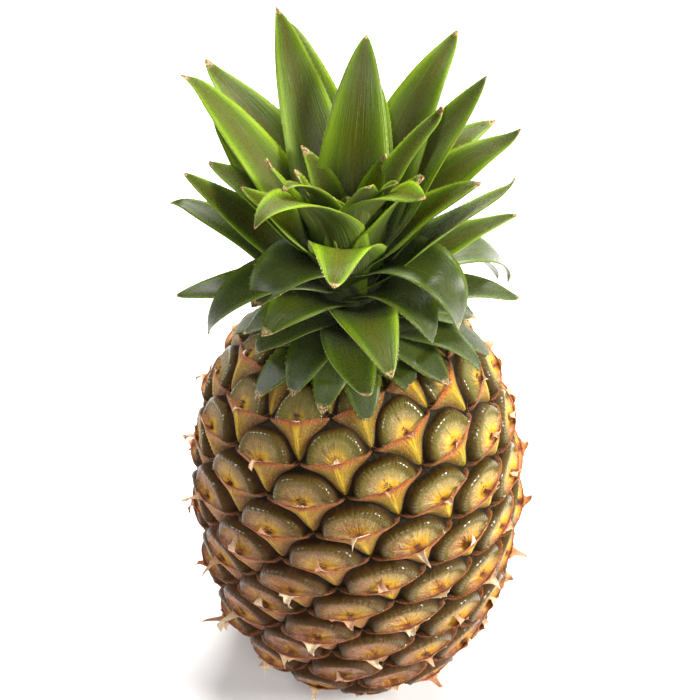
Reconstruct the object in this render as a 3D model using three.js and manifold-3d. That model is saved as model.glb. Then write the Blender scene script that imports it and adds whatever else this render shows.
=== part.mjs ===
// A pineapple as picked: the fruit with its spiral of eyes, the leafy crown on top, and the cut stalk
// that it stands on. Millimetres and degrees, +Z up, origin at the middle of the flat cut base.
import * as THREE from "three";
import { mergeVertices } from "three/addons/utils/BufferGeometryUtils.js";
import Module from "manifold-3d";

// Fruit: a body of revolution, measured at the bottom of the grooves between the eyes.
const FRUIT_RADIUS = 57.5;
const WIDEST_HEIGHT = 96.5;
const LOWER_REACH = 99.5;
const LOWER_ROUNDNESS = 2.8;
const UPPER_REACH = 72.5;
const UPPER_FULLNESS = 3.4;
const UPPER_ROUNDNESS = 1.4;
const SHOULDER_CUT = 165.5;

// Eyes: one for each step of the golden angle, counted downward from the one that faces the front.
const GOLDEN_ANGLE = 137.54;
const FIRST_EYE_HEIGHT = 134.5;
const FIRST_EYE_AZIMUTH = 12;
const EYE_RISE = 1.17;
const LOWER_SLENDERNESS = 0.73;
const UPPER_SLENDERNESS = 0.59;
const STEEP_SPIRAL = 13;
const STEEP_TURNS = 5;
const SHALLOW_SPIRAL = 8;
const SHALLOW_TURNS = 3;
const DOME_HEIGHT = 4.4;
const DOME_FULLNESS = 2.4;
const LIP_HEIGHT = 6;
const LIP_SHARPNESS = 0.4;
const THORN_LENGTH = 4;
const THORN_LIFT = 0.14;
const THORN_SWAY = 0.05;
const KEEL_HEIGHT = 3.4;
const KEEL_SIDE_HEIGHT = 1.8;
const EYE_VARIATION = 0.14;
const THORN_VARIATION = 0.42;

// Relief: the share of it that is left at the flat base, under the crown and at the withered thorns.
const BASE_RELIEF = 0.1;
const BASE_FADE = 20;
const CROWN_RELIEF = 0.35;
const CROWN_FADE = 40;
const WITHERED_THORN = 0.15;
const THORNLESS_HEIGHT = 142;
const POLE_FADE = 14;

// Crown: leaves on a short stem that carries the same spiral on upward.
const LEAF_COUNT = 78;
const LOWEST_LEAF_HEIGHT = 166.5;
const LEAF_RISE = 0.55;
const LOWEST_LEAF_AZIMUTH = 4.5;
const LOWEST_LEAN = -25;
const LEAN_PER_LEAF = 1.58;
const LEAN_VARIATION = 6;
const SHORTEST_LEAF = 30;
const LONGEST_LEAF = 72;
const FIRST_LONG_LEAF = 48;
const LENGTH_VARIATION = 4;
const USUAL_CURL = 35;
const CURL_VARIATION = 25;
const CURL_POWER = 1.6;
const FEWEST_PARTS = 6;
const CURL_PER_PART = 55;
const LOWEST_WIDTH = 17;
const WIDTH_PER_LEAF = 0.19;
const FIRST_YOUNG_LEAF = 58;
const YOUNG_WIDTH = 0.42;
const NECK_WIDTH = 0.55;
const NECK_LENGTH = 0.35;
const TAPER_START = 2.1;
const TAPER_FULLNESS = 0.8;
const TIP_WIDTH = 1;
const USUAL_SWAY = 3;
const STEEPEST_WRAP = 0.3;
const TIGHTEST_CHANNEL = 1.3;
const BLADE_MIDDLE = 1.1;
const BLADE_EDGE = 0.7;
const STEM_RADIUS = 14;
const STEM_TAPER = 0.12;
const HEART_HEIGHT = 58;
const ROOT_DEPTH = 5;
const TOUCHING_GAP = 0.3;
const LEAF_CLEARANCE = 0.6;
const LAYER_GAP = 0.12;

// Stalk: the woody stem that the fruit grew on, cut level with its base.
const STALK_RADIUS = 12.5;
const STALK_DEPTH = 9;

// Leaves whose habit stands out, by their place in the spiral: lean above level, downward curl, length and,
// for some, how far the tip sways sideways.
const HABITS = new Map([
  [0, [-31, 40, 43, 1]],
  [2, [-17, 44, 46, -1]],
  [3, [-20, 40, 38, -3]],
  [5, [-22, 60, 36, -3]],
  [8, [2, 45, 30]],
  [10, [14, 73, 40]],
  [15, [15, 55, 50]],
  [16, [0, 51, 30, 2]],
  [18, [-15, 30, 34]],
  [20, [-5, 60, 80]],
  [21, [16, 0, 54, 9]],
  [27, [40, 25, 60]],
  [28, [25, 110, 64]],
  [32, [25, 30, 50]],
  [34, [37, 40, 67]],
  [35, [45, 0, 66]],
  [36, [35, 15, 52]],
  [37, [39, 70, 35]],
  [39, [59, 141, 41]],
  [40, [45, 0, 60]],
  [41, [65, 70, 68]],
  [44, [50, 5, 70]],
  [45, [40, 105, 52]],
  [46, [76, 30, 58]],
  [48, [62, 16, 81]],
  [49, [60, 45, 68]],
  [50, [92, 97, 77]],
  [51, [60, 25, 80, 8]],
  [52, [62, 176, 54, -2]],
  [54, [70, 50, 80]],
  [55, [66, 71, 76, -5]],
  [56, [55, 35, 76]],
  [57, [55, 20, 49]],
  [58, [50, 124, 36, -1]],
  [59, [80, 35, 70]],
  [60, [93, 91, 64]],
  [61, [45, 20, 48]],
  [62, [55, 10, 68]],
  [64, [52, -15, 78]],
  [68, [80, 18, 45]],
  [70, [82, 44, 55]],
  [71, [92, 72, 52]],
  [74, [85, 25, 28]],
  [75, [85, 30, 26]],
  [76, [88, 20, 26]],
  [77, [83, 58, 28, 2]],
]);

// Short leaves that their neighbours in front cover, and places where a leaf has come away.
const COVERED = new Set([7, 11, 19, 23, 24, 31, 53, 65, 66, 73]);
const LOST = new Set([13, 26, 29, 42, 47, 63, 67, 69, 72]);
const COVERED_LENGTH = 0.6;

const radians = THREE.MathUtils.degToRad;
const { clamp, smoothstep, lerp } = THREE.MathUtils;
const wasm = await Module();
wasm.setup();

// A draw between -1 and 1 that is always the same for one item and one purpose.
function draw(item, purpose) {
  const wave = Math.sin(item * 127.1 + purpose * 311.7) * 43758.5453;
  return 2 * (wave - Math.floor(wave)) - 1;
}

// A point at an azimuth round the axis, from the front (-Y) toward +X.
function around(azimuth, radius, height) {
  return [radius * Math.sin(radians(azimuth)), -radius * Math.cos(radians(azimuth)), height];
}

// A closed solid from a geometry, once the vertices that meet are made one and slivers are dropped.
function solidOf(geometry) {
  const bare = new THREE.BufferGeometry();
  bare.setAttribute("position", geometry.getAttribute("position"));
  bare.setIndex(geometry.getIndex());
  const merged = mergeVertices(bare, 1e-3);
  const corners = merged.getIndex().array;
  const kept = [];
  for (let i = 0; i < corners.length; i += 3) {
    const [a, b, c] = corners.slice(i, i + 3);
    if (a !== b && b !== c && c !== a) kept.push(a, b, c);
  }
  return new wasm.Manifold(
    new wasm.Mesh({
      numProp: 3,
      vertProperties: new Float32Array(merged.getAttribute("position").array),
      triVerts: new Uint32Array(kept),
    }),
  );
}

// The one body that is wanted, without the loose scraps that a join or a cut can leave.
function largestOf(solid) {
  return solid.decompose().reduce((best, body) => (body.volume() > best.volume() ? body : best));
}

function geometryOf(solid) {
  const made = solid.getMesh();
  const geometry = new THREE.BufferGeometry();
  geometry.setAttribute("position", new THREE.BufferAttribute(made.vertProperties, 3));
  geometry.setIndex(new THREE.BufferAttribute(made.triVerts, 1));
  geometry.computeVertexNormals();
  return geometry;
}

function meshOf(name, solid, finish) {
  const mesh = new THREE.Mesh(geometryOf(solid), new THREE.MeshStandardMaterial(finish));
  mesh.name = name;
  return mesh;
}

// The fruit's side curve from the bottom to the top, with the count of eyes passed on the way down.
function sideCurve() {
  const steps = 240;
  const curve = [];
  for (let i = -steps; i <= steps; i++) {
    const turn = (Math.abs(i) / steps) * (Math.PI / 2);
    const lower = i < 0;
    const inward = lower ? 2 / LOWER_ROUNDNESS : 2 / UPPER_FULLNESS;
    const along = lower ? 2 / LOWER_ROUNDNESS : 2 / UPPER_ROUNDNESS;
    const reach = lower ? -LOWER_REACH : UPPER_REACH;
    const radius = i === -steps || i === steps ? 0 : FRUIT_RADIUS * Math.cos(turn) ** inward;
    curve.push({ radius, height: WIDEST_HEIGHT + reach * Math.sin(turn) ** along });
  }
  let eyes = 0;
  curve.forEach((here, i) => {
    const last = curve[Math.max(i - 1, 0)];
    const next = curve[Math.min(i + 1, curve.length - 1)];
    const length = Math.hypot(here.radius - last.radius, here.height - last.height);
    const width = (here.radius + last.radius) / 2 / FRUIT_RADIUS;
    const slenderness = here.height < WIDEST_HEIGHT ? LOWER_SLENDERNESS : UPPER_SLENDERNESS;
    eyes -= (length / EYE_RISE) * width ** slenderness;
    here.eyes = eyes;
    const rise = next.height - last.height;
    const spread = next.radius - last.radius;
    const slope = Math.hypot(rise, spread);
    here.outward = rise / slope;
    here.upward = -spread / slope;
  });
  const first = curve.find((point) => point.height > FIRST_EYE_HEIGHT).eyes;
  curve.forEach((point) => (point.eyes -= first));
  return curve;
}

const SIDE = sideCurve();
const HIGHEST_COUNT = SIDE[0].eyes;
const LOWEST_COUNT = SIDE[SIDE.length - 1].eyes;

// The place on the side curve that a count of eyes reaches.
function sideAt(count) {
  const wanted = clamp(count, LOWEST_COUNT, HIGHEST_COUNT);
  let low = 0;
  let high = SIDE.length - 1;
  while (high - low > 1) {
    const middle = (low + high) >> 1;
    if (SIDE[middle].eyes > wanted) low = middle;
    else high = middle;
  }
  const share = (SIDE[low].eyes - wanted) / (SIDE[low].eyes - SIDE[high].eyes);
  const place = {};
  for (const key of ["radius", "height", "outward", "upward"]) {
    place[key] = lerp(SIDE[low][key], SIDE[high][key], share);
  }
  return place;
}

// The share of its full height that the skin's relief keeps near the flat base and under the crown.
function reliefShare(height) {
  const nearBase = lerp(BASE_RELIEF, 1, smoothstep(height, -2, BASE_FADE));
  const top = WIDEST_HEIGHT + UPPER_REACH;
  return nearBase * lerp(CROWN_RELIEF, 1, smoothstep(top - height, 0, CROWN_FADE));
}

// Thorns are full length on the lower half and wither toward the crown.
function thornLength(height) {
  return THORN_LENGTH * lerp(1, WITHERED_THORN, smoothstep(height, WIDEST_HEIGHT, THORNLESS_HEIGHT));
}

// A point of the skin: steps along the two spirals from an eye, and a height above the grooves.
function skinPoint(eye, steep, shallow, height, thorn = 0) {
  const count = eye + STEEP_SPIRAL * steep + SHALLOW_SPIRAL * shallow;
  const steepTurn = STEEP_SPIRAL * GOLDEN_ANGLE - STEEP_TURNS * 360;
  const shallowTurn = SHALLOW_SPIRAL * GOLDEN_ANGLE - SHALLOW_TURNS * 360;
  const azimuth = FIRST_EYE_AZIMUTH + eye * GOLDEN_ANGLE + steep * steepTurn + shallow * shallowTurn;
  const place = sideAt(count);
  const share = reliefShare(place.height) * smoothstep(place.radius, 0, POLE_FADE);
  const raised = (height + thorn * thornLength(place.height)) * share;
  const radius = place.radius + raised * place.outward;
  return around(azimuth, radius, place.height + raised * place.upward);
}

// How far the dome of an eye has risen at a distance from the groove, in widths of the eye.
function swell(distance) {
  return Math.sqrt(1 - (1 - clamp(2 * distance, 0, 1)) ** DOME_FULLNESS);
}

// One eye in rows from its top corner to its bottom corner. The upper half is a dome, the lower half a
// bract whose raised lip crosses the eye from corner to corner and ends in a thorn in the middle.
function eyeRows(eye) {
  const dome = DOME_HEIGHT * (1 + EYE_VARIATION * draw(eye, 1));
  const lip = LIP_HEIGHT * (1 + EYE_VARIATION * draw(eye, 2));
  const thorn = 1 + THORN_VARIATION * draw(eye, 3);
  const sway = THORN_SWAY * draw(eye, 4);
  // down runs from -1 at the top corner to 1 at the bottom one, across from -1 at the left edge to 1.
  const point = (down, across, height, spike) => {
    const half = (1 - Math.abs(down)) / 2;
    return skinPoint(eye, down / 2 - across * half, down / 2 + across * half, height, spike);
  };
  const domePoint = (down, across) => {
    const half = (1 - Math.abs(down)) / 2;
    const toRight = down / 2 - across * half + 0.5;
    const toLeft = down / 2 + across * half + 0.5;
    return point(down, across, dome * swell(toRight) * swell(toLeft));
  };
  const lipPoint = (across) => point(0, across, lip * (1 - across ** 2) ** LIP_SHARPNESS);
  return [
    [point(-1, 0, 0)],
    [-1, -0.5, 0, 0.5, 1].map((across) => domePoint(-0.5, across)),
    [-1, -0.5, 0, 0.5, 1].map((across) => domePoint(0, across)),
    [
      lipPoint(-1),
      lipPoint(-0.6),
      lipPoint(-0.2),
      point(-THORN_LIFT, sway, lip, thorn),
      lipPoint(0.2),
      lipPoint(0.6),
      lipPoint(1),
    ],
    [
      point(0.5, -1, 0),
      point(0.5, -0.5, KEEL_SIDE_HEIGHT),
      point(0.5, 0, KEEL_HEIGHT),
      point(0.5, 0.5, KEEL_SIDE_HEIGHT),
      point(0.5, 1, 0),
    ],
    [point(1, 0, 0)],
  ];
}

// Triangles between two rows of points that both run from left to right, the upper row first.
function zip(upper, lower, positions) {
  let u = 0;
  let l = 0;
  while (u < upper.length - 1 || l < lower.length - 1) {
    const nextUpper = (u + 1) / Math.max(upper.length - 1, 1);
    const nextLower = (l + 1) / Math.max(lower.length - 1, 1);
    const stepUpper = l === lower.length - 1 || (u < upper.length - 1 && nextUpper < nextLower);
    if (stepUpper) positions.push(...upper[u], ...lower[l], ...upper[++u]);
    else positions.push(...upper[u], ...lower[l], ...lower[++l]);
  }
}

function buildFruit() {
  const positions = [];
  const margin = STEEP_SPIRAL + SHALLOW_SPIRAL;
  for (let eye = Math.floor(LOWEST_COUNT) - margin; eye <= HIGHEST_COUNT + margin; eye++) {
    const rows = eyeRows(eye);
    for (let i = 1; i < rows.length; i++) zip(rows[i - 1], rows[i], positions);
  }
  const skin = new THREE.BufferGeometry();
  skin.setAttribute("position", new THREE.Float32BufferAttribute(positions, 3));
  const wide = 4 * FRUIT_RADIUS;
  const slab = new THREE.BoxGeometry(wide, wide, SHOULDER_CUT).translate(0, 0, SHOULDER_CUT / 2);
  return largestOf(solidOf(skin).intersect(solidOf(slab)).subtract(stalkSolid(TOUCHING_GAP)));
}

// The stalk's stump, or with a gap round it, the socket that it stands in.
function stalkSolid(gap) {
  const radius = STALK_RADIUS + gap;
  const depth = STALK_DEPTH + gap;
  const base = gap > 0 ? -1 : 0;
  const outline = [
    new THREE.Vector2(0, base),
    new THREE.Vector2(radius, base),
    new THREE.Vector2(radius * 0.96, depth - 2),
    new THREE.Vector2(radius * 0.8, depth),
    new THREE.Vector2(0, depth),
  ];
  return solidOf(new THREE.LatheGeometry(outline, 24).rotateX(Math.PI / 2));
}

// The upper side of the fruit, with the height of the tallest lips and thorns above the grooves there.
const SHOULDER = SIDE.filter((point) => point.height > WIDEST_HEIGHT).map((point) => {
  const lip = LIP_HEIGHT * (1 + EYE_VARIATION);
  const thorn = thornLength(point.height) * (1 + THORN_VARIATION);
  return { ...point, relief: (lip + thorn) * reliefShare(point.height) };
});

// The height that a leaf's face has to keep at a radius, to lie on the eyes of the fruit's shoulder.
function shoulderHeight(radius, above) {
  const cut = SHOULDER_CUT + above;
  const edge = SHOULDER.map((point) => {
    const raised = point.relief + above;
    return [point.radius + raised * point.outward, Math.min(point.height + raised * point.upward, cut)];
  });
  let height = radius < FRUIT_RADIUS / 2 ? cut : -Infinity;
  for (let i = 1; i < edge.length; i++) {
    const [[from, low], [to, high]] = [edge[i - 1], edge[i]];
    if (radius > from || radius < to || from === to) continue;
    height = Math.max(height, lerp(low, high, (from - radius) / (from - to)));
  }
  return height;
}

// The middle line of a leaf in its own upright plane, with the direction that it takes at each station.
function leafLine(leaf) {
  const grown = smoothstep(leaf, 0, FIRST_LONG_LEAF);
  const usual = [
    LOWEST_LEAN + LEAN_PER_LEAF * leaf + LEAN_VARIATION * draw(leaf, 11),
    USUAL_CURL + CURL_VARIATION * draw(leaf, 12),
    lerp(SHORTEST_LEAF, LONGEST_LEAF, grown) + LENGTH_VARIATION * draw(leaf, 13),
  ];
  if (COVERED.has(leaf)) usual[2] *= COVERED_LENGTH;
  const [lean, curl, length, sway = USUAL_SWAY * draw(leaf, 18)] = HABITS.get(leaf) ?? usual;
  const above = LEAF_RISE * leaf;
  let radius = STEM_RADIUS - STEM_TAPER * above - ROOT_DEPTH * Math.cos(radians(lean));
  let height = LOWEST_LEAF_HEIGHT + above - ROOT_DEPTH * Math.sin(radians(lean));
  const line = [];
  const parts = FEWEST_PARTS + Math.floor(curl / CURL_PER_PART);
  const step = (length + ROOT_DEPTH) / parts;
  for (let i = 0; i <= parts; i++) {
    const along = i / parts;
    const heading = radians(lean - curl * along ** CURL_POWER);
    line.push({ along, heading, radius, height, shift: sway * along ** 2 });
    const ahead = radians(lean - curl * ((i + 0.5) / parts) ** CURL_POWER);
    radius += step * Math.cos(ahead);
    height += step * Math.sin(ahead);
  }
  return line;
}

// A channelled blade: at each station three points across its upper face and three across its lower face.
function leafSolid(leaf) {
  const azimuth = LOWEST_LEAF_AZIMUTH - GOLDEN_ANGLE * leaf;
  const young = smoothstep(leaf, FIRST_YOUNG_LEAF, LEAF_COUNT);
  const width = (LOWEST_WIDTH + WIDTH_PER_LEAF * leaf) * lerp(1, YOUNG_WIDTH, young);
  const rings = leafLine(leaf).map(({ along, heading, radius, height, shift }) => {
    const neck = lerp(NECK_WIDTH, 1, smoothstep(along, 0, NECK_LENGTH));
    const taper = (1 - along ** TAPER_START) ** TAPER_FULLNESS;
    const half = Math.max(width * neck * taper, TIP_WIDTH) / 2;
    const wrap = clamp(radius / Math.max(Math.sin(heading), STEEPEST_WRAP), STEM_RADIUS, 2 * STEM_RADIUS);
    const channel = Math.max(wrap, TIGHTEST_CHANNEL * half);
    const rise = channel - Math.sqrt(channel ** 2 - half ** 2);
    const at = (side, depth) => {
      const lift = Math.abs(side) * rise - depth;
      const spread = radius - lift * Math.sin(heading);
      const tall = height + lift * Math.cos(heading);
      const aside = side * half + shift;
      const reach = Math.hypot(spread, aside);
      const turned = azimuth + THREE.MathUtils.radToDeg(Math.atan2(aside, spread));
      const lowest = shoulderHeight(reach, LEAF_CLEARANCE + LAYER_GAP * leaf + BLADE_MIDDLE - depth);
      return around(turned, reach, Math.max(tall, lowest));
    };
    const middle = lerp(BLADE_MIDDLE, BLADE_EDGE, along);
    return [at(-1, 0), at(0, 0), at(1, 0), at(1, BLADE_EDGE), at(0, middle), at(-1, BLADE_EDGE)];
  });
  const positions = [];
  const face = (a, b, c) => positions.push(...a, ...c, ...b);
  for (let i = 1; i < rings.length; i++) {
    const [p, q] = [rings[i - 1], rings[i]];
    face(p[0], p[1], q[1]);
    face(p[0], q[1], q[0]);
    face(p[1], p[2], q[1]);
    face(p[2], q[2], q[1]);
    face(p[2], p[3], q[3]);
    face(p[2], q[3], q[2]);
    face(p[3], p[4], q[4]);
    face(p[3], q[4], q[3]);
    face(p[4], p[5], q[4]);
    face(p[5], q[5], q[4]);
    face(p[5], p[0], q[0]);
    face(p[5], q[0], q[5]);
  }
  for (const [ring, order] of [[rings[0], 1], [rings.at(-1), -1]]) {
    for (const [a, b, c] of [[0, 5, 4], [0, 4, 1], [1, 4, 3], [1, 3, 2]]) {
      if (order > 0) face(ring[a], ring[b], ring[c]);
      else face(ring[a], ring[c], ring[b]);
    }
  }
  const blade = new THREE.BufferGeometry();
  blade.setAttribute("position", new THREE.Float32BufferAttribute(positions, 3));
  return solidOf(blade);
}

// The crown's stem and heart bud: a blunt cone that the leaves are rooted in.
function stemSolid() {
  const foot = SHOULDER_CUT + TOUCHING_GAP;
  const outline = [
    new THREE.Vector2(0, foot),
    new THREE.Vector2(STEM_RADIUS, foot),
    new THREE.Vector2(STEM_RADIUS, foot + 0.3 * HEART_HEIGHT),
    new THREE.Vector2(0.85 * STEM_RADIUS, foot + 0.6 * HEART_HEIGHT),
    new THREE.Vector2(0.5 * STEM_RADIUS, foot + 0.87 * HEART_HEIGHT),
    new THREE.Vector2(0, foot + HEART_HEIGHT),
  ];
  return solidOf(new THREE.LatheGeometry(outline, 18).rotateX(Math.PI / 2));
}

function buildCrown() {
  let crown = stemSolid();
  for (let leaf = 0; leaf < LEAF_COUNT; leaf++) {
    if (!LOST.has(leaf)) crown = crown.add(leafSolid(leaf));
  }
  return largestOf(crown);
}

const pineapple = new THREE.Group();
pineapple.add(meshOf("fruit", buildFruit(), { color: 0x9a7a2c, roughness: 0.5, metalness: 0 }));
pineapple.add(meshOf("crown", buildCrown(), { color: 0x4f8a26, roughness: 0.42, metalness: 0 }));
pineapple.add(meshOf("stalk", stalkSolid(0), { color: 0xb99a67, roughness: 0.85, metalness: 0 }));

export default pineapple;
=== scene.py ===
# A whole ripe pineapple on its cut base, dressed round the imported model.
# Sizes are in millimetres until a mesh is made; the model is in metres, +Z up, its front toward -Y.
import math

import bmesh
import bpy
import numpy as np
from mathutils import Matrix, Vector


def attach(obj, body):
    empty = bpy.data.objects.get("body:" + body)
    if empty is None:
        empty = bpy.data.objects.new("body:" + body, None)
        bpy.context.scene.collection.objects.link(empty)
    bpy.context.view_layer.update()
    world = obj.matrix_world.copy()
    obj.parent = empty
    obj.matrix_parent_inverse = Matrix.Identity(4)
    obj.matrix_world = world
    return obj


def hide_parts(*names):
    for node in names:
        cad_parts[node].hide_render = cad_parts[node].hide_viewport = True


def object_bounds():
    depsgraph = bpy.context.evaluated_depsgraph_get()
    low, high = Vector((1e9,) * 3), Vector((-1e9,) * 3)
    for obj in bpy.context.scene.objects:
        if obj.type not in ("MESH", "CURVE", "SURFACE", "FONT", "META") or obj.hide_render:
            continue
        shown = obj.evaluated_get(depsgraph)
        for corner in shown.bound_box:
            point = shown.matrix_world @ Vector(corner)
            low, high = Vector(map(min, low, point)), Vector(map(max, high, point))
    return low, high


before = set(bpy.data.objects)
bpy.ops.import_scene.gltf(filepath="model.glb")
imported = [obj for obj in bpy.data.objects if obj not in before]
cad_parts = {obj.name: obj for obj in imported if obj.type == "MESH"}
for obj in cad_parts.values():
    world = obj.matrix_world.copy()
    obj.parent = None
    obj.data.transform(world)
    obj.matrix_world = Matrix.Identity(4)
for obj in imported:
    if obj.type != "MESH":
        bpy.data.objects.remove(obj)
cad_box = [list(corner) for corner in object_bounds()]

# The cut stalk: the woody stem that the fruit grew on, sawn off level with its base. It is a stump of
# dry fibres in a shallow socket, seen only from below, with a ring of bark round the cut face.
STALK_RADIUS = 12.5
STALK_DEPTH = 9.0
STALK_SIDES = 96
CUT_RINGS = 14
PALE_PITH = (0.42, 0.31, 0.15, 1)
DRY_FIBRE = (0.25, 0.16, 0.07, 1)
STALK_BARK = (0.10, 0.065, 0.03, 1)


def wired(tree, kind, inputs=None, **settings):
    """A node with its settings made, and its inputs given a value or joined to another node."""
    node = tree.nodes.new(kind)
    for name, value in settings.items():
        setattr(node, name, value)
    for key, value in (inputs or {}).items():
        if isinstance(value, bpy.types.NodeSocket):
            tree.links.new(value, node.inputs[key])
        else:
            node.inputs[key].default_value = value
    return node


def maths(tree, operation, first, second=0.0):
    return wired(tree, "ShaderNodeMath", {0: first, 1: second}, operation=operation).outputs[0]


def product(tree, first, *others):
    for other in others:
        first = maths(tree, "MULTIPLY", first, other)
    return first


def total(tree, first, *others):
    for other in others:
        first = maths(tree, "ADD", first, other)
    return first


def eased(tree, value, start, end, low=0.0, high=1.0):
    """A value carried smoothly from low to high between start and end, and held beyond them."""
    inputs = {"Value": value, "From Min": start, "From Max": end, "To Min": low, "To Max": high}
    return wired(tree, "ShaderNodeMapRange", inputs, interpolation_type="SMOOTHSTEP").outputs[0]


def blended(tree, share, under, over):
    return wired(tree, "ShaderNodeMix", {0: share, 6: under, 7: over}, data_type="RGBA").outputs[2]


def graded(tree, value, stops):
    """Colours along a scale from 0 to 1."""
    node = wired(tree, "ShaderNodeValToRGB", {0: value})
    marks = node.color_ramp.elements
    while len(marks) < len(stops):
        marks.new(1.0)
    for mark, (place, colour) in zip(marks, stops):
        mark.position = place
        mark.color = colour
    return node.outputs[0]


def mottle(tree, scale, detail=3.0, place=None, roughness=0.55):
    """Soft random patches fixed to the piece, from 0 to 1."""
    place = place or wired(tree, "ShaderNodeTexCoord").outputs["Object"]
    inputs = {"Vector": place, "Scale": scale, "Detail": detail, "Roughness": roughness}
    return wired(tree, "ShaderNodeTexNoise", inputs).outputs[0]


def new_finish(name):
    finish = bpy.data.materials.new(name)
    finish.use_nodes = True
    tree = finish.node_tree
    return finish, tree, tree.nodes["Principled BSDF"]


def relief(tree, shader, height, depth):
    """Fine relief on a finish, with depth in metres for a height of 1."""
    bump = wired(tree, "ShaderNodeBump", {"Height": height, "Distance": depth, "Strength": 1.0})
    tree.links.new(bump.outputs[0], shader.inputs["Normal"])


def stack_faces(rings, sides):
    """Faces of rings of points stacked between a first and a last point."""
    last = 1 + (rings - 1) * sides
    faces = [[0, 1 + (side + 1) % sides, 1 + side] for side in range(sides)]
    for below in range(1, last, sides):
        for side in range(sides):
            after = (side + 1) % sides
            faces.append([below + side, below + after, below + sides + after, below + sides + side])
    return faces + [[last + side, last + (side + 1) % sides, last + sides] for side in range(sides)]


def part_object(name, points, faces, finish, smooth=True):
    """An object from points in millimetres."""
    mesh = bpy.data.meshes.new(name)
    mesh.from_pydata((np.asarray(points) * 0.001).tolist(), [], [list(face) for face in faces])
    mesh.materials.append(finish)
    made = bpy.data.objects.new(name, mesh)
    bpy.context.scene.collection.objects.link(made)
    if smooth:
        mesh.shade_smooth()
    return made


def mark_corners(made, name, values):
    """Keeps three numbers at each corner of each face, for the finish to read."""
    layer = made.data.attributes.new(name, "FLOAT_VECTOR", "CORNER")
    layer.data.foreach_set("vector", np.asarray(values, dtype=np.float32).ravel())


def stalk_finish():
    finish, tree, shader = new_finish("sawn stalk fibre")
    place = wired(tree, "ShaderNodeTexCoord").outputs["Object"]
    apart = wired(tree, "ShaderNodeSeparateXYZ", {0: place})
    squares = [maths(tree, "POWER", apart.outputs[axis], 2.0) for axis in (0, 1)]
    outward = maths(tree, "SQRT", total(tree, *squares))
    dots = wired(tree, "ShaderNodeTexVoronoi", {"Vector": place, "Scale": 900.0})
    bundles = eased(tree, dots.outputs["Distance"], 0.15, 0.5)
    patches = mottle(tree, 260.0)
    wood = blended(tree, bundles, DRY_FIBRE, PALE_PITH)
    wood = blended(tree, product(tree, patches, 0.6), wood, DRY_FIBRE)
    barked = eased(tree, outward, 0.0106, 0.0118)
    tree.links.new(blended(tree, barked, wood, STALK_BARK), shader.inputs["Base Color"])
    tree.links.new(eased(tree, patches, 0.2, 0.8, 0.7, 0.95), shader.inputs["Roughness"])
    relief(tree, shader, total(tree, bundles, patches), 0.0004)
    return finish


def build_stalk():
    profile = [(STALK_RADIUS * ring / CUT_RINGS * 0.97, 0.0) for ring in range(1, CUT_RINGS + 1)]
    profile += [(STALK_RADIUS, 0.4), (STALK_RADIUS * 0.985, 3.5), (STALK_RADIUS * 0.96, STALK_DEPTH - 2)]
    profile += [(STALK_RADIUS * 0.8, STALK_DEPTH), (STALK_RADIUS * 0.4, STALK_DEPTH)]
    turns = np.linspace(0, 2 * math.pi, STALK_SIDES, endpoint=False)
    ribs = 1 - 0.012 * (1 + np.sin(turns * 17 + 2 * np.sin(turns * 5)))
    points = [[0, 0, 0]]
    for radius, height in profile:
        points += [[radius * rib * math.cos(turn), radius * rib * math.sin(turn), height]
                   for turn, rib in zip(turns, ribs)]
    points.append([0, 0, STALK_DEPTH])
    stalk = part_object("cut_stalk", points, stack_faces(len(profile), STALK_SIDES), stalk_finish())
    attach(stalk, "root")
    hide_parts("stalk")


build_stalk()

# The rind: eyes, each a fused floret, packed in spirals round the flesh. The upper half of an
# eye is a waxy dome with a raised rim, the lower half a stiff keeled bract, and between eyes are grooves.
FRUIT_RADIUS = 57.5
WIDEST_HEIGHT = 96.5
LOWER_REACH = 99.5
LOWER_ROUNDNESS = 2.8
UPPER_REACH = 72.5
UPPER_FULLNESS = 3.4
UPPER_ROUNDNESS = 1.4
SHOULDER_CUT = 165.5
GOLDEN_ANGLE = 137.54
FIRST_EYE_HEIGHT = 134.5
FIRST_EYE_AZIMUTH = 12.0
EYE_RISE = 1.17
LOWER_SLENDERNESS = 0.73
UPPER_SLENDERNESS = 0.59
STEEP_TURN = 13 * GOLDEN_ANGLE - 5 * 360
SHALLOW_TURN = 8 * GOLDEN_ANGLE - 3 * 360
DOME_HEIGHT = 4.4
LIP_HEIGHT = 6.0
THORN_LENGTH = 4.0
EYE_VARIATION = 0.14
GROOVE_BOW = 0.1
EYE_STEPS = 20
EDGE_CROWDING = 1.2
SIDE_CROWDING = 0.35
SOCKET_RADIUS = STALK_RADIUS + 0.3
SOCKET_DEPTH = STALK_DEPTH + 0.3
SOCKET_SIDES = 64


def drawn(item, purpose):
    """A draw between -1 and 1 that is always the same for one item and one purpose."""
    wave = np.sin(np.asarray(item) * 127.1 + purpose * 311.7) * 43758.5453
    return 2 * (wave - np.floor(wave)) - 1


def eased_step(value, start, end):
    share = np.clip((value - start) / (end - start), 0, 1)
    return share * share * (3 - 2 * share)


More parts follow.
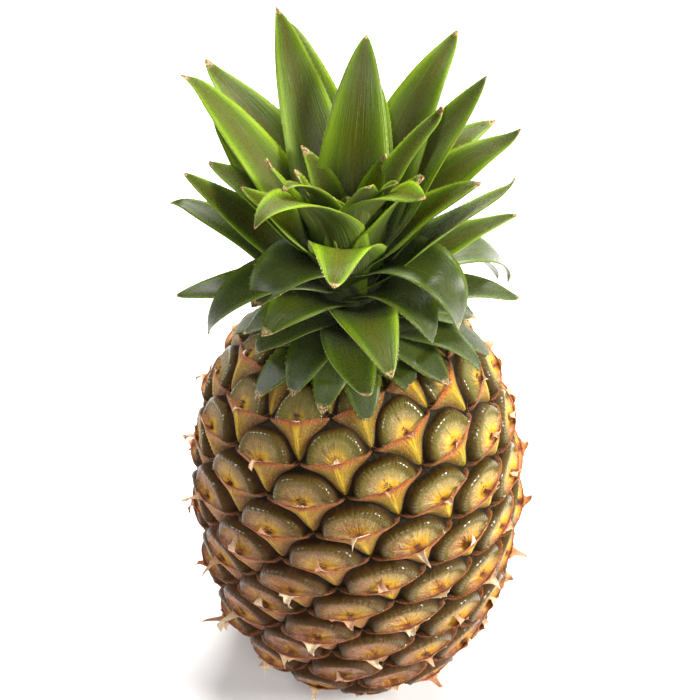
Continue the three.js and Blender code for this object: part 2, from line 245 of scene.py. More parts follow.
def side_curve():
    """The fruit's side at the bottom of the grooves, with the count of eyes passed on the way down."""
    steps = 240
    place = np.arange(-steps, steps + 1)
    turn = np.abs(place) / steps * math.pi / 2
    lower = place < 0
    inward = np.where(lower, 2 / LOWER_ROUNDNESS, 2 / UPPER_FULLNESS)
    along = np.where(lower, 2 / LOWER_ROUNDNESS, 2 / UPPER_ROUNDNESS)
    reach = np.where(lower, -LOWER_REACH, UPPER_REACH)
    radius = FRUIT_RADIUS * np.clip(np.cos(turn), 0, 1) ** inward
    radius[[0, -1]] = 0
    height = WIDEST_HEIGHT + reach * np.sin(turn) ** along
    before = np.maximum(np.arange(len(place)) - 1, 0)
    after = np.minimum(np.arange(len(place)) + 1, len(place) - 1)
    length = np.hypot(radius - radius[before], height - height[before])
    width = (radius + radius[before]) / 2 / FRUIT_RADIUS
    slenderness = np.where(height < WIDEST_HEIGHT, LOWER_SLENDERNESS, UPPER_SLENDERNESS)
    eyes = -np.cumsum(length / EYE_RISE * width ** slenderness)
    eyes -= eyes[np.argmax(height > FIRST_EYE_HEIGHT)]
    rise = height[after] - height[before]
    spread = radius[after] - radius[before]
    slope = np.hypot(rise, spread)
    return eyes, radius, height, rise / slope, -spread / slope


SIDE = side_curve()


def side_at(count):
    """Radius, height and outward direction of the side where a count of eyes has been passed."""
    return [np.interp(count, SIDE[0][::-1], line[::-1]) for line in SIDE[1:]]


def relief_share(height):
    near_base = 0.1 + 0.9 * eased_step(height, -2, 20)
    return near_base * (0.35 + 0.65 * eased_step(WIDEST_HEIGHT + UPPER_REACH - height, 0, 40))


def thorn_length(height):
    return THORN_LENGTH * (1 - 0.85 * eased_step(height, WIDEST_HEIGHT, 142))


def skin_point(eye, down, across, raised):
    """Points of the rind and its outward direction there, down and across an eye from -1 to 1."""
    steep = (down - across) / 2
    shallow = (down + across) / 2
    bowed_steep = steep - GROOVE_BOW * np.cos(math.pi * shallow) ** 2 * np.sin(math.pi * steep) ** 2
    bowed_shallow = shallow - GROOVE_BOW * np.cos(math.pi * steep) ** 2 * np.sin(math.pi * shallow) ** 2
    radius, height, outward, upward = side_at(eye + 13 * bowed_steep + 8 * bowed_shallow)
    azimuth = np.radians(FIRST_EYE_AZIMUTH + eye * GOLDEN_ANGLE + bowed_steep * STEEP_TURN
                         + bowed_shallow * SHALLOW_TURN)
    share = relief_share(height) * eased_step(radius, 0, 14)
    reach = radius + raised * share * outward
    point = np.stack([reach * np.sin(azimuth), -reach * np.cos(azimuth), height + raised * share * upward],
                     -1)
    facing = np.stack([outward * np.sin(azimuth), -outward * np.cos(azimuth), upward + 0 * azimuth], -1)
    return point, facing


def rim_distance(down, across):
    """How far out on its dome a point lies: 0 at the withered flower, 1 at the groove."""
    steep = np.clip(1 + (down - across), 0, 1)
    shallow = np.clip(1 + (down + across), 0, 1)
    square = ((1 - steep) ** 2.3 + (1 - shallow) ** 2.3) ** (1 / 2.3)
    return (square ** 6 + (np.abs(across) / 0.86) ** 6) ** (1 / 6)


def dome_height(eye, down, across):
    far = rim_distance(down, across)
    face = 0.84 + 0.05 * eased_step(far, 0.1, 0.55) - 0.03 * np.exp(-((far - 0.66) / 0.06) ** 2)
    face += 0.13 * eased_step(far, 0.64, 0.82) - 0.12 * np.exp(-(far / 0.1) ** 2)
    fall = np.clip(1 - np.clip((far - 0.76) / 0.24, 0, 1) ** 2.2, 0, 1) ** 0.6
    ray = np.arctan2(across, 0.08 - down) * 46 + 9 * drawn(eye, 7)
    wrinkle = 0.004 * np.sin(ray) * eased_step(far, 0.3, 0.8)
    return DOME_HEIGHT * (1 + EYE_VARIATION * drawn(eye, 1)) * (face + wrinkle) * fall


def lip_height(eye, across):
    return LIP_HEIGHT * (1 + EYE_VARIATION * drawn(eye, 2)) * np.clip(1 - across ** 2, 0, 1) ** 0.4


def bract_height(eye, down, across):
    """A bract's back: full at the lip, with a keel down its middle and hollow sides to the grooves."""
    room = np.maximum(1 - down, 1e-6)
    out = np.clip(np.abs(across) / room, 0, 1)
    settled = eased_step(down, 0, 0.45)
    crown = 2 - 0.55 * settled
    side = (1 - out ** crown) ** (0.4 + 0.4 * settled)
    keel = 0.08 * np.exp(-(across / 0.06) ** 2) * eased_step(down, 0.02, 0.2) * (1 - eased_step(down, 0.6, 1))
    fold = 0.035 * np.sin(out * 9 + 5 * drawn(eye, 8)) * out * (1 - out) * 4
    return LIP_HEIGHT * (1 + EYE_VARIATION * drawn(eye, 2)) * room ** 0.82 * (side + keel + fold * room)


def eye_grid():
    """Down, across and triangles of one eye's dome and bract, which meet at the lip."""
    levels = [(row / EYE_STEPS) ** EDGE_CROWDING for row in range(EYE_STEPS + 1)]
    rows = [(level - 1, row + 1, 0) for row, level in enumerate(levels)]
    rows += [(level, EYE_STEPS - row + 1, 1) for row, level in enumerate(levels)]
    down, across, bract, starts = [], [], [], []
    for level, count, kind in rows:
        starts.append(len(down))
        room = 1 - abs(level)
        for step in range(count):
            down.append(level)
            even = 2 * step / (count - 1) - 1 if count > 1 else 0.0
            across.append(room * (even + SIDE_CROWDING * even * (1 - abs(even))))
            bract.append(kind)
    triangles = []
    for row in range(len(rows) - 1):
        upper, lower = starts[row], starts[row + 1]
        wide, next_wide = rows[row][1], rows[row + 1][1]
        for step in range(wide):
            if next_wide > wide or next_wide == wide and step + 1 < next_wide:
                triangles.append([upper + step, lower + step, lower + step + 1])
        for step in range(wide - 1):
            shift = 1 if next_wide >= wide else 0
            triangles.append([upper + step, lower + step + shift, upper + step + 1])
        if next_wide < wide:
            for step in range(next_wide - 1):
                triangles.append([upper + step + 1, lower + step, lower + step + 1])
    return np.array(down), np.array(across), np.array(bract), np.array(triangles)


def lower_and_upper_eye():
    return int(math.floor(SIDE[0].min())) - 21, int(SIDE[0].max()) + 21


# The dome's last stop, near black where it drops into the groove, is painted shade; the dark stops before it
# are the rim's own olive-brown.
DOME_COLOURS = [
    (0.00, (0.060, 0.022, 0.012, 1)), (0.07, (0.26, 0.095, 0.026, 1)), (0.14, (0.76, 0.38, 0.018, 1)),
    (0.27, (0.80, 0.46, 0.018, 1)), (0.42, (0.50, 0.33, 0.050, 1)), (0.58, (0.27, 0.200, 0.060, 1)),
    (0.67, (0.128, 0.090, 0.008, 1)), (0.80, (0.098, 0.066, 0.004, 1)), (0.93, (0.066, 0.038, 0.003, 1)),
    (1.00, (0.016, 0.008, 0.003, 1)),
]
# The bract's last stop, dark at its foot by the groove, is painted shade.
BRACT_COLOURS = [
    (0.00, (0.38, 0.085, 0.014, 1)), (0.08, (0.50, 0.145, 0.010, 1)), (0.24, (0.46, 0.185, 0.008, 1)),
    (0.55, (0.34, 0.180, 0.005, 1)), (1.00, (0.10, 0.062, 0.003, 1)),
]
KEEL_YELLOW = (0.80, 0.54, 0.012, 1)
BRACT_SIDE_SHADE = (0.085, 0.055, 0.005, 1)
GROOVE_SHADE_BLACK = (0.018, 0.013, 0.004, 1)
DUSTY_MAUVE = (0.46, 0.275, 0.220, 1)
RIPE_BROWN = (0.29, 0.070, 0.012, 1)
RIM_BROWN = (0.065, 0.028, 0.008, 1)
LEFT_LOW_DARK_BROWN = (0.150, 0.050, 0.016, 1)
SCAR_BROWN = (0.22, 0.115, 0.050, 1)
UNRIPE_GREEN = (0.092, 0.104, 0.009, 1)
WAX_SPECK = (0.56, 0.47, 0.38, 1)
RAY_CREAM = (0.80, 0.60, 0.19, 1)
LIP_STAIN = (0.24, 0.060, 0.016, 1)
STREAK_BROWN = (0.24, 0.075, 0.014, 1)
BACK_YELLOW = (0.26, 0.205, 0.006, 1)
SPLIT_BROWN = (0.10, 0.035, 0.015, 1)


def marked(tree, name):
    """The three numbers kept at each corner under a name."""
    kept = wired(tree, "ShaderNodeAttribute", attribute_name=name)
    return wired(tree, "ShaderNodeSeparateXYZ", {0: kept.outputs["Vector"]}).outputs


def rind_finish():
    finish, tree, shader = new_finish("waxy rind")
    place = wired(tree, "ShaderNodeTexCoord").outputs["Object"]
    spot = wired(tree, "ShaderNodeSeparateXYZ", {0: place})
    across, down, chance = marked(tree, "cell")
    far, bract, level = marked(tree, "eye")
    coarse = mottle(tree, 110.0, 4.0)
    fine = mottle(tree, 700.0, 5.0)
    speck = mottle(tree, 2400.0, 2.0)
    off = product(tree, maths(tree, "SUBTRACT", coarse, 0.5), 0.34)
    far_off = total(tree, far, product(tree, off, eased(tree, far, 0.9, 0.6)))

    turn = maths(tree, "ARCTAN2", across, maths(tree, "SUBTRACT", 0.08, down))
    ray_place = wired(tree, "ShaderNodeCombineXYZ", {0: product(tree, turn, 3.2), 1: product(tree, far,
                                                                                             0.7),
                                                     2: product(tree, chance, 9.0)})
    rays = mottle(tree, 1.6, 5.0, ray_place.outputs[0], 0.7)
    dome = graded(tree, far_off, DOME_COLOURS)
    inner = eased(tree, far, 0.70, 0.46)
    brown_side = eased(tree, maths(tree, "SUBTRACT", product(tree, chance, 0.35), across), -0.25, 0.45)
    brown_ray = product(tree, eased(tree, rays, 0.40, 0.56), brown_side)
    dome = blended(tree, product(tree, brown_ray, inner, 0.9), dome, RIPE_BROWN)
    pale_ray = product(tree, eased(tree, rays, 0.46, 0.30), eased(tree, far, 0.05, 0.2))
    dome = blended(tree, product(tree, pale_ray, inner, 0.8), dome, RAY_CREAM)
    split = eased(tree, maths(tree, "ABSOLUTE", total(tree, turn, product(tree, off, 1.2))), 0.07, 0.01)
    split = product(tree, split, product(tree, inner, eased(tree, fine, 0.35, 0.55)))
    dome = blended(tree, product(tree, split, 0.8), dome, SPLIT_BROWN)
    dust = product(tree, eased(tree, speck, 0.52, 0.62), eased(tree, far_off, 0.76, 0.50))
    dust = product(tree, dust, eased(tree, far, 0.12, 0.40, 0.2, 1.0))
    dome = blended(tree, product(tree, dust, 0.7), dome, WAX_SPECK)
    plain = product(tree, eased(tree, chance, -0.4, 0.9, 0.4, 1.0), eased(tree, spot.outputs[2], 0.105, 0.16))
    ring = product(tree, eased(tree, far_off, 0.26, 0.46), eased(tree, far, 0.90, 0.76))
    dome = blended(tree, product(tree, plain, ring, 0.8), dome, UNRIPE_GREEN)
    plain_inner = product(tree, plain, inner, eased(tree, chance, -0.6, 0.8, 0.0, 0.6))
    dome = blended(tree, plain_inner, dome, UNRIPE_GREEN)

    back = graded(tree, total(tree, down, product(tree, off, 0.5)), BRACT_COLOURS)
    room = maths(tree, "MAXIMUM", maths(tree, "SUBTRACT", 1.0, down), 0.05)
    out = maths(tree, "DIVIDE", maths(tree, "ABSOLUTE", across), room)
    green_back = product(tree, eased(tree, spot.outputs[2], 0.06, 0.14), eased(tree, down, 0.04, 0.2))
    back = blended(tree, product(tree, green_back, eased(tree, coarse, 0.35, 0.6, 0.25, 0.85)), back,
                   BACK_YELLOW)
    # Painted shade: the bract's back darkens toward its sides, where they sink into the grooves.
    back = blended(tree, eased(tree, total(tree, out, off), 0.40, 0.98), back, BRACT_SIDE_SHADE)
    keel = eased(tree, total(tree, out, off), 0.30, 0.0)
    keel = product(tree, keel, eased(tree, down, 0.02, 0.22))
    keel = product(tree, keel, eased(tree, spot.outputs[2], 0.03, 0.13, 0.3, 0.75))
    back = blended(tree, keel, back, KEEL_YELLOW)
    streak_place = wired(tree, "ShaderNodeCombineXYZ", {0: product(tree, out, 9.0), 1: down, 2: chance})
    streaks = mottle(tree, 2.2, 4.0, streak_place.outputs[0])
    back = blended(tree, eased(tree, streaks, 0.46, 0.62, 0.0, 0.75), back, STREAK_BROWN)
    lipped = product(tree, eased(tree, down, 0.14, 0.0), eased(tree, fine, 0.42, 0.56, 0.1, 1.0))
    back = blended(tree, product(tree, lipped, 0.85), back, LIP_STAIN)
    back = blended(tree, eased(tree, speck, 0.57, 0.68, 0.0, 0.5), back, WAX_SPECK)

    skin = blended(tree, bract, dome, back)
    # Browner, redder and darker toward the left side and the bottom: partly the fruit's own ripening, partly
    # painted shade on the side turned from the light.
    west = eased(tree, spot.outputs[0], 0.045, -0.06)
    low = eased(tree, spot.outputs[2], 0.085, 0.0)
    rim = product(tree, eased(tree, far, 0.68, 0.80), maths(tree, "SUBTRACT", 1.0, bract))
    west = product(tree, west, eased(tree, spot.outputs[2], 0.15, 0.08, 0.2, 0.9))
    browned_and_shaded = maths(tree, "MINIMUM", total(tree, west, low), 1.0)
    domed = maths(tree, "SUBTRACT", 1.0, bract)
    ringed = product(tree, domed, product(tree, eased(tree, far_off, 0.16, 0.50), eased(tree, far, 0.84,
                                                                                        0.68)))
    backed = product(tree, bract, eased(tree, coarse, 0.36, 0.6, 0.35, 0.9))
    reddened = total(tree, product(tree, ringed, 0.6), product(tree, backed, 0.75))
    skin = blended(tree, product(tree, browned_and_shaded, reddened), skin, RIPE_BROWN)
    dusty = total(tree, product(tree, ringed, 0.8), product(tree, bract, 0.6))
    dusty = product(tree, dusty, eased(tree, total(tree, product(tree, speck, 0.5), product(tree, coarse,
                                                                                            0.5)), 0.43,
                                       0.58))
    skin = blended(tree, product(tree, browned_and_shaded, dusty), skin, DUSTY_MAUVE)
    # Dark brown patches and darker rims there, painted shade in part.
    left_low_dark_patches = product(tree, browned_and_shaded, eased(tree, mottle(tree, 260.0, 3.0), 0.56, 0.40, 0.0, 0.6))
    skin = blended(tree, left_low_dark_patches, skin, LEFT_LOW_DARK_BROWN)
    skin = blended(tree, product(tree, browned_and_shaded, rim, 0.85), skin, RIM_BROWN)
    # Painted shade: the rind goes near black where it sinks low into the grooves between eyes.
    groove_shade = eased(tree, level, 0.7, 0.0)
    skin = blended(tree, groove_shade, skin, GROOVE_SHADE_BLACK)
    scar = blended(tree, eased(tree, coarse, 0.35, 0.65), SCAR_BROWN, STALK_BARK)
    skin = blended(tree, eased(tree, spot.outputs[2], 0.0012, 0.0004), skin, scar)
    tree.links.new(skin, shader.inputs["Base Color"])

    crest = product(tree, rim, eased(tree, far, 0.94, 0.84))
    spokes = maths(tree, "SINE", total(tree, product(tree, turn, 44.0), product(tree, coarse, 16.0)))
    matt = total(tree, eased(tree, fine, 0.3, 0.7, 0.45, 0.65), product(tree, crest, -0.15))
    tree.links.new(matt, shader.inputs["Roughness"])
    shine = product(tree, crest, eased(tree, spokes, -0.3, 0.7, 0.1, 1.0))
    shine = product(tree, shine, eased(tree, browned_and_shaded, 0.2, 1.0, 1.0, 0.4))
    tree.links.new(shine, shader.inputs["Coat Weight"])
    shader.inputs["Specular IOR Level"].default_value = 0.15
    shader.inputs["Coat Roughness"].default_value = 0.12
    shader.inputs["Subsurface Weight"].default_value = 0.05
    shader.inputs["Subsurface Radius"].default_value = (0.004, 0.002, 0.0006)
    shader.inputs["Subsurface Scale"].default_value = 0.5

    spokes = product(tree, spokes, rim, eased(tree, far, 0.94, 0.86))
    rough = total(tree, product(tree, fine, 0.9), product(tree, speck, 0.3))
    rough = total(tree, rough, product(tree, spokes, 0.14))
    rough = total(tree, rough, product(tree, rays, 0.8))
    rough = total(tree, rough, product(tree, streaks, 0.7))
    relief(tree, shader, rough, 0.0006)
    return finish


def close_base_and_top(net):
    """Cuts the rind level at base and shoulder, and closes it with a socket for the stalk."""
    for level, side in ((0.0, -1), (SHOULDER_CUT * 0.001, 1)):
        everything = net.verts[:] + net.edges[:] + net.faces[:]
        bmesh.ops.bisect_plane(net, geom=everything, dist=1e-7, plane_co=(0, 0, level), plane_no=(0, 0, side),
                               clear_outer=True)
    open_edges = [edge for edge in net.edges if edge.is_boundary]
    top = [edge for edge in open_edges if edge.verts[0].co.z > 0.1]
    base = [edge for edge in open_edges if edge.verts[0].co.z < 0.1]
    bmesh.ops.triangle_fill(net, use_beauty=True, edges=top, normal=(0, 0, 1))
    rings = []
    for height in (0.0, SOCKET_DEPTH):
        turns = np.linspace(0, 2 * math.pi, SOCKET_SIDES, endpoint=False)
        rings.append([net.verts.new((SOCKET_RADIUS * 0.001 * math.cos(turn),
                                     SOCKET_RADIUS * 0.001 * math.sin(turn),
                                     height * 0.001)) for turn in turns])
    mouth = [net.edges.new((rings[0][side],
                            rings[0][(side + 1) % SOCKET_SIDES])) for side in range(SOCKET_SIDES)]
    bmesh.ops.triangle_fill(net, use_beauty=True, edges=base + mouth, normal=(0, 0, -1))
    for side in range(SOCKET_SIDES):
        after = (side + 1) % SOCKET_SIDES
        net.faces.new((rings[0][after], rings[0][side], rings[1][side], rings[1][after]))
    net.faces.new(rings[1])


def build_rind():
    down, across, bract, triangles = eye_grid()
    first, last = lower_and_upper_eye()
    points, faces, cells, eyes = [], [], [], []
    for eye in range(first, last + 1):
        domed = dome_height(eye, down, across)
        backed = bract_height(eye, down, across)
        lipped = np.where(down == 0, lip_height(eye, across), backed)
        raised = np.where(bract == 0, domed, lipped)
        raised[np.abs(np.abs(down) + np.abs(across) - 1) < 1e-9] = 0
        point, _ = skin_point(eye, down, across, raised)
        faces.append(triangles + len(down) * len(points))
        points.append(point)
        chance = np.full(len(down), drawn(eye, 9))
        cells.append(np.stack([across, down, chance], -1)[triangles.ravel()])
        eyes.append(np.stack([rim_distance(down, across), bract, raised], -1)[triangles.ravel()])
    rind = part_object("rind", np.concatenate(points), np.concatenate(faces), rind_finish())
    mark_corners(rind, "cell", np.concatenate(cells))
    mark_corners(rind, "eye", np.concatenate(eyes))
    net = bmesh.new()
    net.from_mesh(rind.data)
    bmesh.ops.remove_doubles(net, verts=net.verts, dist=2e-6)
    bmesh.ops.dissolve_degenerate(net, edges=net.edges, dist=1e-6)
    close_base_and_top(net)
    bmesh.ops.recalc_face_normals(net, faces=net.faces)
    net.to_mesh(rind.data)
    net.free()
    rind.data.shade_smooth()
    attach(rind, "root")
    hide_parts("fruit")


build_rind()

# The dry lips: each bract ends in a thin papery edge, red-brown and finely toothed, which stands off
# the dome behind it and runs out in a ragged, curled, straw to cream tip in the middle.
LIP_STEPS = 40
LIP_ROWS = 5
PAPER_THICKNESS = 0.2
TIP_HALF_WIDTH = 0.052
TIP_FOOT_WIDTH = 0.17
TIP_SHARES = (1.0, 0.75, 0.5, 0.25, 0.0)
LIP_RED = (0.23, 0.036, 0.010, 1)
LIP_BROWN = (0.36, 0.110, 0.018, 1)
PAPER_STRAW = (0.68, 0.34, 0.18, 1)
PAPER_CREAM = (0.84, 0.64, 0.40, 1)
PAPER_SPOT = (0.09, 0.035, 0.018, 1)


def paper_finish():
    finish, tree, shader = new_finish("dry bract paper")
    out, reach, chance = marked(tree, "sheet")
    coarse = mottle(tree, 320.0, 4.0)
    fine = mottle(tree, 1800.0, 4.0)
    edge = blended(tree, eased(tree, total(tree, out, product(tree, coarse, 0.5)), 0.3, 1.0), LIP_RED,
                   LIP_BROWN)
    tipped = eased(tree, total(tree, reach, product(tree, coarse, 1.6)), 1.1, 2.4)
    paper = blended(tree, tipped, edge, blended(tree, eased(tree, chance, -0.6, 0.8), PAPER_STRAW,
                                                PAPER_CREAM))
    paper = blended(tree, eased(tree, fine, 0.5, 0.7, 0.0, 0.45), paper, PAPER_SPOT)
    tree.links.new(paper, shader.inputs["Base Color"])
    tree.links.new(eased(tree, fine, 0.3, 0.7, 0.5, 0.8), shader.inputs["Roughness"])
    relief(tree, shader, total(tree, coarse, fine), 0.0004)
    return finish


def unit(vectors):
    return vectors / np.maximum(np.linalg.norm(vectors, axis=-1, keepdims=True), 1e-9)


def dry_lip(eye, tip_share):
    """One lip as two faces of a thin strip: rows from the bract's crest out to the ragged edge."""
    step = np.linspace(-1, 1, LIP_STEPS + 1)
    wing = np.where(step < 0, 1.05 + 0.07 * drawn(eye, 15), 1.07 + 0.08 * drawn(eye, 16))
    across = wing * np.sign(step) * np.abs(step) ** 1.2
    swept = eased_step(np.abs(across), 0.78, 1.15)
    down = 0.015 - 0.2 * swept
    raised = lip_height(eye, across) * (1 - swept) + 3.1 * swept - 0.5
    crest, facing = skin_point(eye, down, across, raised)
    above, _ = skin_point(eye, down - 0.13, across, raised)
    upward = unit(above - crest)
    share = np.clip(relief_share(crest[:, 2]), 0.3, 1)
    off_middle = np.abs(across - 0.05 * drawn(eye, 4))
    middle = np.exp(-(off_middle / TIP_HALF_WIDTH) ** 1.5)
    foot = np.exp(-(off_middle / TIP_FOOT_WIDTH) ** 1.5)
    jag = drawn(np.arange(LIP_STEPS + 1) + 100 * eye, 5)
    withered = 1 - 0.45 * eased_step(crest[:, 2], 110, 150)
    shred = np.exp(-(np.abs(across - 0.45 * drawn(eye, 21)) / 0.05) ** 1.5) * (1.2 + 1.2 * drawn(eye, 22))
    tip = ((4.4 + 4.2 * drawn(eye, 3)) * middle + 2.1 * foot + shred) * withered * (1 + 0.3 * jag) * tip_share
    ending = 1 - np.abs(step)
    reach = (0.2 + 0.2 * ending + 0.22 * jag) * np.clip(5 * ending, 0.1, 1) + tip
    lean = np.radians(40 + 18 * drawn(eye, 6))
    curl = np.radians(125 * drawn(eye, 10) + 10) * middle
    along = unit(np.gradient(crest, axis=0))
    lean_aside = 0.9 * drawn(eye, 13) * middle
    rows = []
    point = crest
    for row in range(LIP_ROWS + 1):
        rows.append(point)
        angle = lean + curl * (row + 0.5) / LIP_ROWS * 2
        way = facing * np.cos(angle)[:, None] + upward * np.sin(angle)[:, None]
        crumple = 0.14 * drawn(np.arange(LIP_STEPS + 1) * 3 + row + 77 * eye, 12)
        point = point + way * (reach / LIP_ROWS * share)[:, None]
        point = point + upward * (crumple * middle)[:, None]
        point = point + along * (lean_aside * row / LIP_ROWS * share)[:, None]
    front = np.stack(rows)
    thinned = np.linspace(1, 0.5, LIP_ROWS + 1)[:, None, None]
    thick = PAPER_THICKNESS * thinned * np.clip(8 * ending, 0.2, 1)[None, :, None]
    behind = front + upward * thick * np.cos(lean) - facing * thick * np.sin(lean)
    marks = np.stack([np.broadcast_to(np.abs(across), front.shape[:2]),
                      np.linspace(0, 1, LIP_ROWS + 1)[:, None] * reach[None, :],
                      np.full(front.shape[:2], drawn(eye, 9))], -1)
    return front, behind, marks


def shell_faces(rows, columns):
    """Faces of a closed sheet whose front grid comes first and whose back grid follows."""
    index = np.arange(rows * columns).reshape(rows, columns)
    back = index + rows * columns
    a, b, c, d = index[:-1, :-1], index[:-1, 1:], index[1:, 1:], index[1:, :-1]
    faces = [np.stack([a, b, c, d], -1).reshape(-1, 4)]
    a, b, c, d = back[:-1, :-1], back[:-1, 1:], back[1:, 1:], back[1:, :-1]
    faces.append(np.stack([d, c, b, a], -1).reshape(-1, 4))
    edge = np.concatenate([index[0, :], index[1:, -1], index[-1, -2::-1], index[-2:0:-1, 0]])
    after = np.roll(edge, -1)
    faces.append(np.stack([after, edge, edge + rows * columns, after + rows * columns], -1))
    return np.concatenate(faces)


def shown_eyes():
    """The eyes whose lip lies clear of the base and of the crown's foot."""
    first, last = lower_and_upper_eye()
    heights = {eye: side_at(float(eye))[1] for eye in range(first, last + 1)}
    return [eye for eye, height in heights.items() if 1.5 < height < 166 and side_at(float(eye))[0] > 18]


def turn_outward(made):
    """Turns every face of closed sheets to look outward."""
    net = bmesh.new()
    net.from_mesh(made.data)
    bmesh.ops.recalc_face_normals(net, faces=net.faces)
    net.to_mesh(made.data)
    net.free()


def build_dry_lips():
    pattern = shell_faces(LIP_ROWS + 1, LIP_STEPS + 1)
    points, faces, marks = [], [], []
    box_low, box_high = np.array(cad_box) * 1000
    for eye in shown_eyes():
        for tip_share in TIP_SHARES:
            front, behind, sheet = dry_lip(eye, tip_share)
            if np.all(front > box_low + 0.3) and np.all(front < box_high - 0.3):
                break
        faces.append(pattern + sum(len(block) for block in points))
        points.append(np.concatenate([front.reshape(-1, 3), behind.reshape(-1, 3)]))
        both = np.concatenate([sheet.reshape(-1, 3)] * 2)
        marks.append(both[pattern.ravel()])
    points = np.concatenate(points)
    points[:, 2] = np.maximum(points[:, 2], 0.2)
    lips = part_object("dry_lips", points, np.concatenate(faces), paper_finish())
    mark_corners(lips, "sheet", np.concatenate(marks))
    turn_outward(lips)
    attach(lips, "root")
    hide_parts("fruit")


build_dry_lips()

# The withered flowers: at the middle of each dome is the dark shrivelled remnant of its flower, a tuft
# of a few dry scales. The tuft is repeated by geometry nodes on a point for each eye.
FLOWER_SIZE = 0.0016
FLOWER_SCALES = 7


def group_of(name, sizes):
    """A geometry node tree with a mesh going in, named sizes and a mesh coming out."""
    tree = bpy.data.node_groups.new(name, "GeometryNodeTree")
    tree.interface.new_socket(name="Geometry", in_out="INPUT", socket_type="NodeSocketGeometry")
    for label, (kind, value) in sizes.items():
        tree.interface.new_socket(name=label, in_out="INPUT", socket_type=kind).default_value = value
    tree.interface.new_socket(name="Geometry", in_out="OUTPUT", socket_type="NodeSocketGeometry")
    return tree, tree.nodes.new("NodeGroupInput")


def finish_group(tree, shape, finish):
    real = wired(tree, "GeometryNodeRealizeInstances", {0: shape})
    coated = wired(tree, "GeometryNodeSetMaterial", {"Geometry": real.outputs[0], "Material": finish})
    wired(tree, "NodeGroupOutput", {0: coated.outputs[0]})


def scattered(tree, given, points, shape, vector, sizes):
    """A shape set on points, each standing along a named vector at a random share of the given size."""
    way = wired(tree, "GeometryNodeInputNamedAttribute", {"Name": vector}, data_type="FLOAT_VECTOR")
    stand = wired(tree, "FunctionNodeAlignRotationToVector", {"Vector": way.outputs[0]}, axis="Z")
    limits = {2: sizes[0], 3: sizes[1], "Seed": given.outputs["Seed"]}
    uneven = wired(tree, "FunctionNodeRandomValue", limits, data_type="FLOAT")
    size = maths(tree, "MULTIPLY", uneven.outputs[1], given.outputs["Size"])
    inputs = {"Points": points, "Instance": shape, "Rotation": stand.outputs[0], "Scale": size}
    return wired(tree, "GeometryNodeInstanceOnPoints", inputs).outputs[0]


def grown(name, points, edges, vectors, tree, sizes):
    """Runs a tree on points in millimetres, and keeps what it makes as a plain mesh."""
    mesh = bpy.data.meshes.new(name)
    mesh.from_pydata((np.asarray(points) * 0.001).tolist(), edges, [])
    for label, values in vectors.items():
        layer = mesh.attributes.new(label, "FLOAT_VECTOR", "POINT")
        layer.data.foreach_set("vector", np.asarray(values, dtype=np.float32).ravel())
    made = bpy.data.objects.new(name, mesh)
    bpy.context.scene.collection.objects.link(made)
    maker = made.modifiers.new("growth", "NODES")
    maker.node_group = tree
    for item in tree.interface.items_tree:
        if item.in_out == "INPUT" and item.name in sizes:
            maker[item.identifier] = sizes[item.name]
    seen = made.evaluated_get(bpy.context.evaluated_depsgraph_get())
    plain = bpy.data.meshes.new_from_object(seen)
    made.modifiers.remove(maker)
    made.data = plain
    return made


def flower_finish():
    finish, tree, shader = new_finish("withered flower")
    coarse = mottle(tree, 900.0, 3.0)
    tree.links.new(graded(tree, coarse, [(0.3, (0.035, 0.016, 0.010, 1)), (0.55, (0.13, 0.055, 0.028, 1)),
                                         (0.75, (0.36, 0.20, 0.09, 1))]), shader.inputs["Base Color"])
    tree.links.new(eased(tree, coarse, 0.3, 0.7, 0.6, 0.9), shader.inputs["Roughness"])
    relief(tree, shader, coarse, 0.0004)
    return finish


def flower_tree(finish):
    tree, given = group_of("withered flower tuft", {
        "Size": ("NodeSocketFloat", FLOWER_SIZE), "Scales": ("NodeSocketInt", FLOWER_SCALES),
        "Seed": ("NodeSocketInt", 3)})
    spot = wired(tree, "GeometryNodeMeshCircle", {"Vertices": given.outputs["Scales"], "Radius": 0.22})
    scale = wired(tree, "GeometryNodeMeshCone", {"Vertices": 4, "Radius Top": 0.03, "Radius Bottom": 0.24,
                                                "Depth": 0.7})
    outward = wired(tree, "GeometryNodeInputPosition")
    steep = wired(tree, "ShaderNodeVectorMath", {0: outward.outputs[0], 1: (0.0, 0.0, 0.18)}, operation="ADD")
    fan = wired(tree, "FunctionNodeAlignRotationToVector", {"Vector": steep.outputs[0]}, axis="Z")
    uneven = wired(tree, "FunctionNodeRandomValue", {2: 0.35, 3: 1.3, "Seed": given.outputs["Seed"]},
                   data_type="FLOAT")
    tuft = wired(tree, "GeometryNodeInstanceOnPoints", {
        "Points": spot.outputs[0], "Instance": scale.outputs[0], "Rotation": fan.outputs[0],
        "Scale": uneven.outputs[1]})
    tuft = wired(tree, "GeometryNodeRealizeInstances", {0: tuft.outputs[0]})
    all_tufts = scattered(tree, given, given.outputs["Geometry"], tuft.outputs[0], "facing", (0.6, 1.3))
    finish_group(tree, all_tufts, finish)
    return tree


def build_flowers():
    eyes = np.array(shown_eyes(), dtype=float)
    down, across = np.full(len(eyes), -0.10), 0.03 * drawn(eyes, 14)
    points, facing = skin_point(eyes, down, across, dome_height(eyes, down, across) - 0.5)
    keep = (points[:, 2] < 160) & (points[:, 2] > 4)
    flowers = grown("withered_flowers", points[keep], [], {"facing": facing[keep]},
                    flower_tree(flower_finish()),
                    {"Size": FLOWER_SIZE, "Scales": FLOWER_SCALES})
    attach(flowers, "root")
    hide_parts("fruit")


build_flowers()

